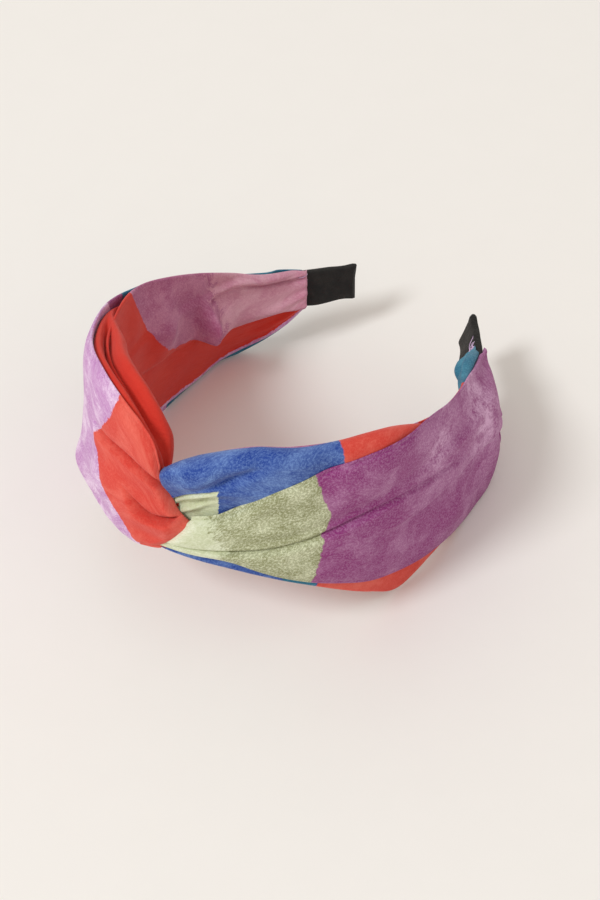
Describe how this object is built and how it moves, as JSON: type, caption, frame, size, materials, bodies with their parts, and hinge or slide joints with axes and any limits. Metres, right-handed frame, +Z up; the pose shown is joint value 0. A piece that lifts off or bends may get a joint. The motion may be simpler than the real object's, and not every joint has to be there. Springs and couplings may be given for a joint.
{
  "type": "knotted headband",
  "caption": "Knotted fabric headband: a sprung band under two linked strips of patchwork-printed cotton, with a raised knot at the crown and bare black satin tips.",
  "frame": {"origin": "on the table, under the middle of the object's box, as it lies on the lower edges of its cloth", "axes": "+Z up from the table, +Y from the knot towards the two tips, +X across, so the right arm is at +X"},
  "size_m": [0.1298, 0.1612, 0.0859],
  "materials": {
    "band_plastic": "matt moulded polypropylene",
    "black_satin": "black polyester satin with a soft sheen",
    "printed_cotton": "plain-weave cotton with a chalky patchwork print",
    "thread": "spun polyester sewing thread",
    "glue": "set hot-melt glue"
  },
  "bodies": {
    "crown": {"core_crown": "band_plastic", "satin_sleeve_crown": "black_satin", "lining_crown": "printed_cotton", "knot_tack_stitches": "thread", "right_strip_knot_front": "printed_cotton", "right_strip_knot_back": "printed_cotton", "left_strip_knot_front": "printed_cotton", "left_strip_knot_back": "printed_cotton"},
    "right_arm": {"core_right": "band_plastic", "satin_sleeve_right": "black_satin", "satin_end_tab_right": "black_satin", "lining_right": "printed_cotton", "right_strip_front_leg": "printed_cotton", "right_strip_back_leg": "printed_cotton", "glue_pad_right": "glue", "gather_stitches_right": "thread"},
    "left_arm": {"core_left": "band_plastic", "satin_sleeve_left": "black_satin", "satin_end_tab_left": "black_satin", "lining_left": "printed_cotton", "left_strip_front_leg": "printed_cotton", "left_strip_back_leg": "printed_cotton", "glue_pad_left": "glue", "gather_stitches_left": "thread"}
  },
  "joints": [
    {"name": "right_arm_flex", "type": "hinge", "parent": "crown", "child": "right_arm", "pos_m": [0.04371, -0.04569, 0.05043], "axis": [0, -0.2164, -0.9763], "range_deg": [-6, 18], "stiffness_Nm_per_rad": 0.5},
    {"name": "left_arm_flex", "type": "hinge", "parent": "crown", "child": "left_arm", "pos_m": [-0.04371, -0.04569, 0.05043], "axis": [0, 0.2164, 0.9763], "range_deg": [-6, 18], "stiffness_Nm_per_rad": 0.5}
  ]
}
